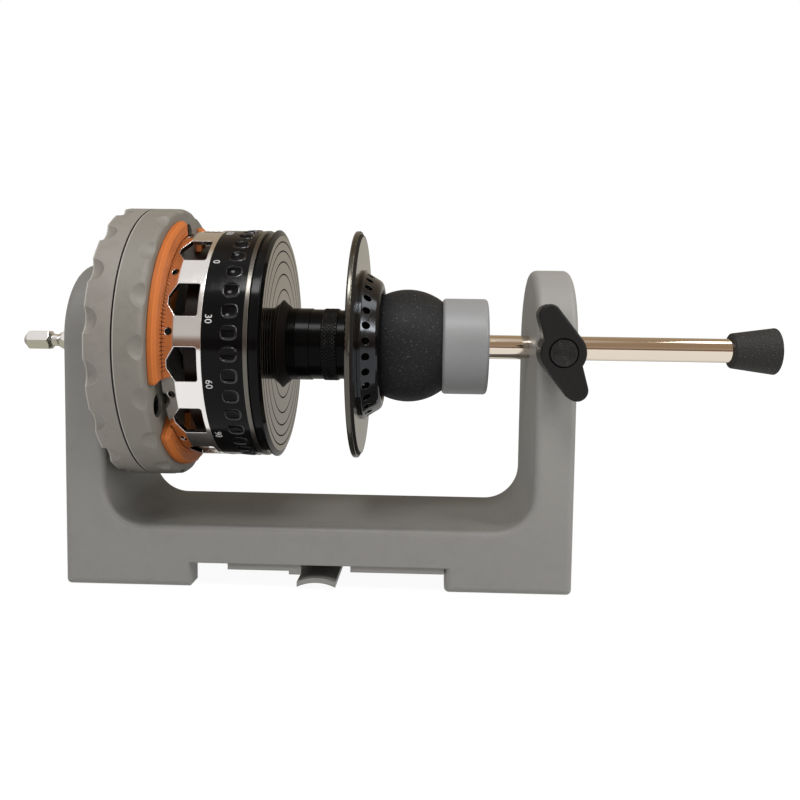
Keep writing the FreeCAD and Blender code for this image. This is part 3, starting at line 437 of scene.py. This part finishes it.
# %% [markdown]
# ## Turned metals
# Everything on the spindle was finished on a lathe, so its fine marks run round the spindle. They
# come from a noise whose coordinates are the piece's own distance along and out from the spindle,
# stretched very long in the third direction, the angle. The same marks change the roughness a
# little, which draws the long soft streaks that light makes on turned metal.

# %% Metal with marks that run round the spindle
marks_across, marks_round, mark_depth, turned_edge = 9000.0, 3.0, 0.000004, 0.0003


def round_the_spindle(finish):
    """Distance along the spindle, distance out from it, and angle round it."""
    x, y, z = finish.parts(finish.place())
    up = z - spindle_height
    return x, (y * y + up * up).root(), up.maths("ARCTAN2", y)


def turned_metal(name, colour, rough, wear=0.05, spread=0.1, darkened=None, painted_underside_shade=None,
                 **fixed):
    finish = Finish(name, **({"Metallic": 1.0} | fixed))
    along, out, angle = round_the_spindle(finish)
    marks = finish.noise(1.0, 2.0, finish.joined(along * marks_across, out * marks_across,
                                                 angle * marks_round))
    cloud = finish.noise(70.0, 3.0) - 0.5
    rounded = finish.rounded(turned_edge, 8)
    metal = finish.shaded(colour, cloud * (2 * wear) + (marks - 0.5) * wear + 1.0, 0.25)
    # The lower side is painted darker: painted shade.
    if painted_underside_shade:
        facing = finish.parts(finish.node("TexCoord", output="Normal"))[2]
        metal = finish.mixed(facing.above(edge=0.0, soft=0.2), painted_underside_shade, metal)
    gloss = (marks - 0.5) * spread + cloud * spread + finish.wear(rounded) * 0.3 + rough
    gloss = gloss.clamped()
    # Dark lines, the cone's painted shade and the lip's black edge.
    if darkened:
        dark_share = darkened(out / MM)
        metal = finish.mixed(dark_share, metal, turned_dark_and_shade)
        gloss = gloss.or_more(dark_share * 0.6)
        finish.set(Metallic=1.0 - dark_share)
    return finish.set(Base_Color=metal, Roughness=gloss,
                      Normal=finish.bump(marks, mark_depth, rounded)).material


print("turning marks every", round(1 / (marks_across * MM), 2), "mm")

# %% [markdown]
# Polished aluminium and chrome are nearly white and nearly smooth, and the trims are duller. The
# shank's lower flats are painted darker, as painted shade. The blacks on the spool are anodised or
# painted and so are no metal to light: they keep the turning marks but set Metallic to 0.

# %% Mix the metals and the turned blacks
polished = turned_metal("polished_aluminium", from_srgb(240, 235, 232), 0.09)
bright_trim = turned_metal("bright_trim", from_srgb(104, 101, 96), 0.24)
lip_steel = turned_metal("lip_steel", from_srgb(88, 86, 80), 0.24)
face_metal = turned_metal("face_metal", from_srgb(158, 150, 138), 0.08, spread=0.05,
                          darkened=face_lines, Specular_IOR_Level=0.1)
lip_metal = turned_metal("lip_metal", from_srgb(152, 147, 131), 0.09, spread=0.05,
                         darkened=lip_edge, Specular_IOR_Level=0.2)
chrome = turned_metal("chrome_steel", from_srgb(226, 215, 200), 0.05, wear=0.02, spread=0.03)
shank_steel = turned_metal("shank_steel", from_srgb(253, 252, 249), 0.2,
                           painted_underside_shade=from_srgb(165, 163, 146))
bearing_steel = turned_metal("bearing_steel", from_srgb(190, 190, 190), 0.25)
brass = turned_metal("brass", from_srgb(196, 160, 90), 0.3)
bead_black = turned_metal("bead_black", from_srgb(66, 66, 69), 0.12, wear=0.1)
black_gloss = turned_metal("black_gloss", from_srgb(8, 8, 9), 0.12, wear=0.12,
                           Metallic=0.0, Specular_IOR_Level=0.11)
black_nose = turned_metal("black_nose", from_srgb(5, 5, 6), 0.12, wear=0.12, Metallic=0.0,
                          Specular_IOR_Level=0.55, Specular_Tint=(0.84, 0.9, 1.0, 1.0))
black_satin = turned_metal("black_satin", from_srgb(5, 5, 5), 0.2, wear=0.12,
                           Metallic=0.0, Specular_IOR_Level=0.06)
print("metals and turned blacks:", [m.name for m in (
    polished, bright_trim, lip_steel, face_metal, lip_metal, chrome, shank_steel, bearing_steel,
    brass, bead_black, black_gloss, black_nose, black_satin)])

# %% [markdown]
# ## Give every packed piece its finish
# The record names a material slot for each piece, so one table from slot to finish dresses them
# all. A few pieces share a slot but not a skin, so they are named one by one: the rubber cap is
# coarser and paler than the ball, the lip's rim is darker steel, the nose is glossier than the
# arbor, the front ring is a shade darker and less pale at its edges than the grip ring, and its
# screws are blackened.

# %% Dress the packed pieces
finishes = {
    "frame_grey": frame_grey, "chuck_grey": chuck_grey, "jaw_orange": jaw_orange,
    "cup_grey": cup_grey, "bush_grey": bush_grey, "black_plastic": black_plastic,
    "black_rubber": ball_rubber, "dark_core": dark_core, "polished_aluminium": polished,
    "black_gloss": black_gloss, "bright_trim": bright_trim, "face_metal": face_metal,
    "lip_metal": lip_metal, "chrome_steel": chrome, "shank_steel": shank_steel,
    "bearing_steel": bearing_steel, "brass": brass,
}
own_finish = {
    "end_cap": cap_rubber, "spool_lip_rim": lip_steel, "spool_arbor": black_satin,
    "spool_arbor_ring": black_satin, "spool_nose": black_nose, "chuck_faceplate": plate_grey,
    "face_screws": black_satin,
}
slot_of = {part["node"]: part["material_slot"] for part in frame["record"]["subparts"]}
for name, piece in nodes.items():
    finish = own_finish.get(name, finishes[slot_of[name]])
    if not piece.material_slots:
        piece.data.materials.append(finish)
    for slot in piece.material_slots:
        slot.material = finish
print("finished pieces:", len(nodes))

# %% [markdown]
# ## Mesh helpers
# New pieces are written as lists of points and faces. `round_spindle` turns a distance along, a
# radius and an angle into a point, because nearly every small part of the winder sits on a
# cylinder. Angles go from +Y towards +Z, as in the packed joints.

# %% Points round the spindle
def round_spindle(along, radius, degrees):
    """A point in metres from millimetres along and out, and an angle in degrees."""
    angle = math.radians(degrees)
    return Vector((along * MM, radius * MM * math.cos(angle),
                   spindle_height + radius * MM * math.sin(angle)))


print("a point on the jaw's edge:", [round(v, 4) for v in round_spindle(-71.75, 38.6, 150)])

# %% [markdown]
# Two patterns of faces serve every new piece. Rings of points that follow one another are skinned
# with four-sided faces, and a small block has eight corners and six sides. Several such sets join
# into one mesh when the numbers of the later points are moved up.

# %% Faces between rings, blocks, and sets joined together
block_sides = [(0, 1, 3, 2), (4, 6, 7, 5), (0, 4, 5, 1), (2, 3, 7, 6), (0, 2, 6, 4), (1, 5, 7, 3)]


def ring_faces(rings, around, closed=True):
    """Faces between rings of points, and from the last ring to the first if closed."""
    faces = []
    for ring in range(rings if closed else rings - 1):
        here, above = ring * around, (ring + 1) % rings * around
        for step in range(around):
            after = (step + 1) % around
            faces.append((here + step, here + after, above + after, above + step))
    return faces


def block(low, high):
    """A block between two corners, each a distance along, a radius and an angle."""
    corners = [round_spindle(a, b, c) for c in (low[2], high[2]) for b in (low[1], high[1])
               for a in (low[0], high[0])]
    return corners, block_sides


def joined_sets(sets):
    """One list of points and one of faces from several."""
    points, faces = [], []
    for more_points, more_faces in sets:
        faces += [tuple(index + len(points) for index in face) for face in more_faces]
        points += more_points
    return points, faces


print("sides of a block:", len(block_sides))

# %% [markdown]
# `new_piece` makes the object. Blender works out which way the faces point, the shading is smooth
# except over sharp edges, and the piece rides on one of the packed bodies, so it moves with the
# joints.

# %% A piece from points and faces
def new_piece(name, points, faces, finish, body, slot, sharp=30.0):
    mesh = bpy.data.meshes.new(name)
    mesh.from_pydata([tuple(point) for point in points], [], faces)
    solid = bmesh.new()
    solid.from_mesh(mesh)
    bmesh.ops.recalc_face_normals(solid, faces=solid.faces)
    solid.to_mesh(mesh)
    solid.free()
    mesh.shade_smooth()
    mesh.set_sharp_from_angle(angle=math.radians(sharp))
    mesh.materials.append(finish)
    piece = bpy.data.objects.new(name, mesh)
    bpy.context.scene.collection.objects.link(piece)
    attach(piece, body)
    print(name, "rides", body, "with", len(faces), "faces")
    return piece


# %% [markdown]
# ## The diamond knurl on the arbor
# The raised ring before the front lip is knurled so that the fingers can turn the spool. A knurling
# wheel presses two sets of slanting grooves that cross, and the metal between them stands up as
# small pyramids. The height here is the lower of two triangle waves that slant opposite ways, and
# it fades to nothing at both ends of the ring.

# %% The height of the knurl
knurl_low, knurl_high = [[value / MM for value in corner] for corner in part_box("spool_knurl")]
knurl_start, knurl_end, knurl_radius = knurl_low[0], knurl_high[0], knurl_high[1]
knurl_depth, knurl_bore = 0.35, 12.22
diamonds_round, diamonds_along, end_fade = 64, 4.0, 12
rows_along, steps_round = 22, 384


def triangle_wave(value):
    return 1.0 - abs(2.0 * (value - math.floor(value)) - 1.0)


def knurl_height(along, round_it):
    """0 in a groove and 1 on a point, from shares of the ring's length and of a turn."""
    share, slant = round_it * diamonds_round, along * diamonds_along
    height = min(triangle_wave(share + slant), triangle_wave(share - slant))
    return height * min(1.0, min(along, 1 - along) * end_fade)


print("knurl from %.2f to %.2f mm, radius %.2f mm" % (knurl_start, knurl_end, knurl_radius))

# %% [markdown]
# The ring is closed: rows along the outside, then one ring of points at each end of the bore.

# %% Cut the knurl
knurl_points = []
for row in range(rows_along + 1):
    part = row / rows_along
    for step in range(steps_round):
        sunk = knurl_depth * (1.0 - knurl_height(part, step / steps_round))
        knurl_points.append(round_spindle(knurl_start + part * (knurl_end - knurl_start),
                                          knurl_radius - sunk, 360 * step / steps_round))
for end in (knurl_end, knurl_start):
    for step in range(steps_round):
        knurl_points.append(round_spindle(end, knurl_bore, 360 * step / steps_round))
knurl = new_piece("knurled_grip", knurl_points, ring_faces(rows_along + 3, steps_round),
                  black_gloss, "drive_head", "black_gloss", sharp=20.0)
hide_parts("spool_knurl")
print("knurl points:", len(knurl_points))

# %% [markdown]
# ## Gripping teeth on the jaws
# Each jaw ends in a curved band that closes on the rim of the spool. Its inner edge carries a row
# of fine teeth so that the rim can't slip. They are separate little blocks on a dark brown strip,
# which is painted shade: it is what one sees in the gaps between them. Both are rows of blocks that
# fill a share of each pitch, 0.74 for the teeth and all of it for the strip.

# %% Cut the teeth of each jaw
jaw_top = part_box("jaw_1")[1][0] / MM
teeth_inner, teeth_outer, teeth_span, teeth_pitch = 38.62, 39.75, 86.0, 1.93
tooth_foot, tooth_height, tooth_share, strip_height = 0.1, 0.16, 0.74, 0.03
teeth_on_jaw = int(teeth_span / teeth_pitch)
jaw_middles = {1: 30, 2: 150, 3: 270}
gap_shade_brown = moulded_plastic("tooth_gap_shade_brown", from_srgb(92, 43, 20), 0.6)


def row_of_blocks(middle, height, share):
    """Blocks along the inner edge of the jaw with its middle at this angle."""
    first = middle - teeth_span / 2
    return joined_sets(
        block((jaw_top - tooth_foot, teeth_inner, first + step * teeth_pitch),
              (jaw_top + height, teeth_outer, first + (step + share) * teeth_pitch))
        for step in range(teeth_on_jaw))


for jaw, middle in jaw_middles.items():
    new_piece("jaw_teeth_%d" % jaw, *row_of_blocks(middle, tooth_height, tooth_share),
              jaw_orange, "jaw_%d" % jaw, "jaw_orange")
    new_piece("tooth_gaps_%d" % jaw, *row_of_blocks(middle, strip_height, 1),
              gap_shade_brown, "jaw_%d" % jaw, "jaw_orange")
print("teeth on each jaw:", teeth_on_jaw)

# %% [markdown]
# ## A printed scale on the black band
# The rear edge of the black band carries small pale figures. Here they are a plain scale of
# degrees, one figure every thirty, read from above. A text curve gives the outlines, its mesh is
# taken once, and every point is wrapped onto the cylinder, so the figures follow the band.

# %% Wrap a figure round the band
band_rear_x, band_front_x = [corner[0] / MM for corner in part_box("spool_band")]
band_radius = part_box("spool_band")[1][1] / MM
figure_height, size_of_height, figure_inset, ink = 2.3, 1.35, 2.1, 0.03


def wrapped_figure(text, degrees):
    curve = bpy.data.curves.new("figure", "FONT")
    curve.body, curve.size = text, figure_height * size_of_height
    curve.align_x, curve.align_y, curve.extrude = "CENTER", "CENTER", ink
    holder = bpy.data.objects.new("figure", curve)
    flat = bpy.data.meshes.new_from_object(holder)
    points = [round_spindle(band_rear_x + figure_inset + v.co.y, band_radius + ink + v.co.z,
                            degrees + math.degrees(v.co.x / band_radius)) for v in flat.vertices]
    faces = [tuple(face.vertices) for face in flat.polygons]
    bpy.data.objects.remove(holder)
    bpy.data.curves.remove(curve)
    bpy.data.meshes.remove(flat)
    return points, faces


print("band from %.2f to %.2f mm, radius %.2f mm" % (band_rear_x, band_front_x, band_radius))

# %% [markdown]
# The figures start a little above the near side of the band and go round once. They are joined into
# one piece, because ink on one band moves as one.

# %% Print the figures
figure_step, zero_angle = 30, 137
print_white = moulded_plastic("print_white", from_srgb(205, 203, 200), 0.5, drift=0.08,
                              grain=0.00001)
figures = [wrapped_figure(str(degrees), zero_angle + degrees)
           for degrees in range(0, 360, figure_step)]
new_piece("band_scale", *joined_sets(figures), print_white, "drive_head", "bright_trim")
print("figures:", len(figures))

# %% [markdown]
# ## Beads round the dents
# Dents are pressed into the black band for grip, and the metal that is pushed aside stands up round
# each as a glossy bead, nearly square with soft corners and thicker on one side, where the tool
# slid. The bead is what sparkles on the black. It is a closed outline in the flat, wrapped round
# the band, with a small eight-sided section. The outline is a superellipse: the higher its power,
# the squarer it is.

# %% The outline of one bead
dent_count, dent_spacing, first_dent, dent_middle = 36, 10, 3.0, band_front_x - 4.6
bead_length, bead_width, bead_power, bead_steps, bead_sides = 2.5, 2.15, 3.2, 36, 8
bead_size, bead_size_change, thick_side, bead_sunk = 0.36, 0.22, 45, 0.24


def bead_points(degrees):
    """Rings of points round the outline of the dent at this angle."""
    points = []
    for step in range(bead_steps):
        turn = 2 * math.pi * step / bead_steps
        corner = (abs(math.cos(turn)) ** bead_power
                  + abs(math.sin(turn)) ** bead_power) ** (-1 / bead_power)
        thick = bead_size + bead_size_change * math.cos(turn - math.radians(thick_side))
        for side in range(bead_sides):
            section = 2 * math.pi * side / bead_sides
            swell = thick * math.cos(section)
            along = (bead_length * corner + swell) * math.cos(turn)
            across = (bead_width * corner + swell) * math.sin(turn)
            points.append(round_spindle(
                dent_middle + along, band_radius - bead_sunk + thick * math.sin(section),
                degrees + math.degrees(across / band_radius)))
    return points


print("points on a bead:", bead_steps * bead_sides)

# %% [markdown]
# One call makes all the beads: the same outline at every dent, skinned with faces and joined.

# %% Raise a bead round every dent
beads = [(bead_points(first_dent + dent_spacing * dent), ring_faces(bead_steps, bead_sides))
         for dent in range(dent_count)]
new_piece("dent_beads", *joined_sets(beads), bead_black, "drive_head", "black_gloss", sharp=80.0)
print("beads:", len(beads))

# %% [markdown]
# ## The disc in the wing screw
# The middle of the wing screw is closed with a pressed black disc that has fine rings turned in its
# face and a groove round its edge. It is a small lathe job about an axis of its own, so its profile
# is a list of depths from the front and radii.

# %% Turn the disc of the wing screw
cap_low, cap_high = [Vector(corner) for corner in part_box("knob_cap")]
cap_middle = (cap_low + cap_high) / 2
cap_front, cap_back = cap_low.y / MM, cap_high.y / MM
cap_radius = (cap_high.z - cap_low.z) / 2 / MM
ring_radii, ring_half, ring_depth, steps_about = (3.3, 2.6, 1.9, 1.2), 0.18, 0.16, 96
cap_profile = [(cap_back, 0.0), (cap_back, cap_radius), (cap_front + 0.8, cap_radius),
               (cap_front + 0.6, cap_radius - 0.3), (cap_front, cap_radius - 0.45)]
for ring_radius in ring_radii:
    cap_profile += [(cap_front, ring_radius + ring_half), (cap_front + ring_depth, ring_radius),
                    (cap_front, ring_radius - ring_half)]
cap_profile.append((cap_front, 0.0))
disc_points = []
for depth, radius in cap_profile:
    for step in range(steps_about):
        angle = 2 * math.pi * step / steps_about
        disc_points.append(Vector((cap_middle.x + radius * MM * math.cos(angle), depth * MM,
                                   cap_middle.z + radius * MM * math.sin(angle))))
disc_black = moulded_plastic("disc_black", from_srgb(19, 19, 20), 0.22, gloss=0.65,
                             grain=0.00001, edge=0.0001)
disc = new_piece("ringed_disc", disc_points, ring_faces(len(cap_profile), steps_about, False),
                 disc_black, "wing_screw", "black_plastic")
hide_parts("knob_cap")
print("disc rings:", len(ring_radii))

# %% [markdown] ## Floor The floor is a large flat grid at height 0.

# %% Lay the floor
floor_reach, floor_steps = 3.0, 12
ticks = [floor_reach * (2 * step / floor_steps - 1) for step in range(floor_steps + 1)]
row = floor_steps + 1
floor_mesh = bpy.data.meshes.new("floor")
floor_mesh.from_pydata([(x, y, 0.0) for y in ticks for x in ticks], [],
                       [(a + b * row, a + 1 + b * row, a + 1 + (b + 1) * row, a + (b + 1) * row)
                        for a in range(floor_steps) for b in range(floor_steps)])
floor = bpy.data.objects.new("floor", floor_mesh)
bpy.context.scene.collection.objects.link(floor)
print("floor:", 2 * floor_reach, "m square")

# %% [markdown]
# The floor is a pale sheet that throws some light up under the winder. To the camera it is nearly
# plain white: close to the winder it keeps a tenth of its real shading, which is the shadow, and
# further out it keeps none, so no horizon shows. In polished metal it is white too, with a dark
# edge far in front and a greyer sweep behind. The Light Path node tells these three apart.

# %% Paint the floor
paper = Finish("floor_white", Roughness=0.9, Specular_IOR_Level=0.0)
x, y, z = paper.parts(paper.place())
tone = (paper.noise(40.0, 3.0) - 0.5) * 0.04 + 1.0
paper.set(Base_Color=paper.shaded((0.90, 0.90, 0.90), tone))
mirrored = paper.in_mirrors()
far_front, sweep = 1.0 - y.above(edge=-0.95, soft=0.3), y.above(edge=0.08, soft=0.12)
near = paper.mixed(mirrored, (1.0, 1.0, 1.0), (0.94, 0.93, 0.91))
front = paper.mixed(mirrored * far_front, near, (0.16, 0.08, 0.05))
plain = paper.mixed(mirrored * sweep, front, (0.39, 0.375, 0.345))
white = paper.node("Emission", sockets={"Color": plain, "Strength": 1.05})
seen = (paper.node("LightPath", output="Is Camera Ray") + mirrored).clamped()
pale = 0.9 + (x * x + y * y).root().above(edge=0.32, soft=0.3) * 0.1
shading = Signal(paper, paper.shader.outputs[0])
blend = paper.node("MixShader", sockets={0: seen * pale, 1: shading, 2: white})
paper.feed(paper.output.inputs["Surface"], blend)
floor_mesh.materials.append(paper.material)
print("floor nodes:", len(paper.tree.nodes))

# %% [markdown]
# ## Lamps
# Three soft lamps, as in a product shot: the key high in front, so that the spool shades the bar
# below it, a weak fill high over the tail end and a tall one at the right that draws a bright patch
# on the spool's nose. Their power is set so that the grey of the stand renders about as it is
# written. A lamp shines along its own -Z, so it is turned until -Z points at its aim.

# %% Hang the lamps
for name, place, aim, size, watts in (
        ("key", (-0.10, -0.44, 0.84), (0, 0, 0.07), (0.30, 0.24), 4.0),
        ("fill", (0.45, -0.05, 0.75), (0.02, 0, 0.08), (0.30, 0.30), 0.9),
        ("side", (0.60, -0.38, 0.58), (0, 0, 0.08), (0.12, 0.50), 2.9)):
    light = bpy.data.lights.new(name, "AREA")
    light.shape, light.energy = "RECTANGLE", watts
    light.size, light.size_y = size
    lamp = bpy.data.objects.new(name, light)
    bpy.context.scene.collection.objects.link(lamp)
    lamp.location = place
    lamp.rotation_euler = (Vector(aim) - Vector(place)).to_track_quat("-Z", "Y").to_euler()
print("lamps:", [light.name for light in bpy.data.lights])

# %% [markdown]
# ## The room
# Polished metal has no look of its own, it only shows its room, and this is the room that draws
# bands on the shaft and the skirt: in front a grey wall on the left and a beige one on the right,
# both with a dark foot, a warm wall behind, and one pale card overhead. A ramp gives each wall its
# colours from the floor, at 0, to straight up, at 1.

# %% Paint the walls
world = bpy.data.worlds.new("studio")
bpy.context.scene.world = world
room = Wiring(world)
way = room.node("TexCoord", output="Generated")
right, back, up = room.parts(way)
upward = up.clamped()


def wall(*stops):
    """A wall's colour by height."""
    return room.node("ValToRGB", {"stops": stops}, {"Fac": upward})


grey_wall = wall((0.0, (0.18, 0.10, 0.07)), (0.07, (0.24, 0.16, 0.12)),
                 (0.15, (0.58, 0.54, 0.51)), (0.6, (0.54, 0.50, 0.47)), (1.0, (0.50, 0.44, 0.38)))
beige_wall = wall((0.0, (0.20, 0.10, 0.07)), (0.09, (0.24, 0.14, 0.09)),
                  (0.15, (0.42, 0.33, 0.26)), (0.5, (0.34, 0.25, 0.175)),
                  (1.0, (0.36, 0.26, 0.175)))
back_wall = wall((0.0, (0.47, 0.45, 0.40)), (0.5, (0.43, 0.36, 0.27)), (1.0, (0.40, 0.29, 0.19)))
front_wall = room.mixed(right.above(edge=-0.1, soft=0.24), grey_wall, beige_wall)
walls = room.mixed(back.above(edge=0.0, soft=0.4), front_wall, back_wall)
card_way = Vector((-0.30, -0.25, 0.92)).normalized()
card = room.node("VectorMath", {"operation": "DOT_PRODUCT"}, {0: way, 1: card_way},
                 output="Value").above(edge=0.90, soft=0.14)
mirror_room = room.mixed(card, walls, (0.84, 0.81, 0.78))
print("wall nodes:", len(room.tree.nodes))

# %% [markdown]
# Only mirrors see that room. Everything dull is lit by a plain soft light that comes more from the
# sides than from above, a little stronger from the right, and the camera sees white.

# %% Light the room
side_light = room.mixed(right.above(edge=0.0, soft=1.2), (0.78, 0.78, 0.78), (0.86, 0.86, 0.87))
soft_light = room.mixed(upward, side_light, (0.16, 0.16, 0.165))
seen_dull = room.mixed(room.in_mirrors(), soft_light, mirror_room)
seen = room.mixed(room.node("LightPath", output="Is Camera Ray"), seen_dull, (1.0, 1.0, 1.0))
sky = room.node("Background", sockets={"Color": seen, "Strength": 1.0})
room.feed(room.tree.nodes.new("ShaderNodeOutputWorld").inputs["Surface"], sky)
bpy.context.scene.view_settings.view_transform = "Standard"
print("room nodes:", len(room.tree.nodes))

# %% [markdown]
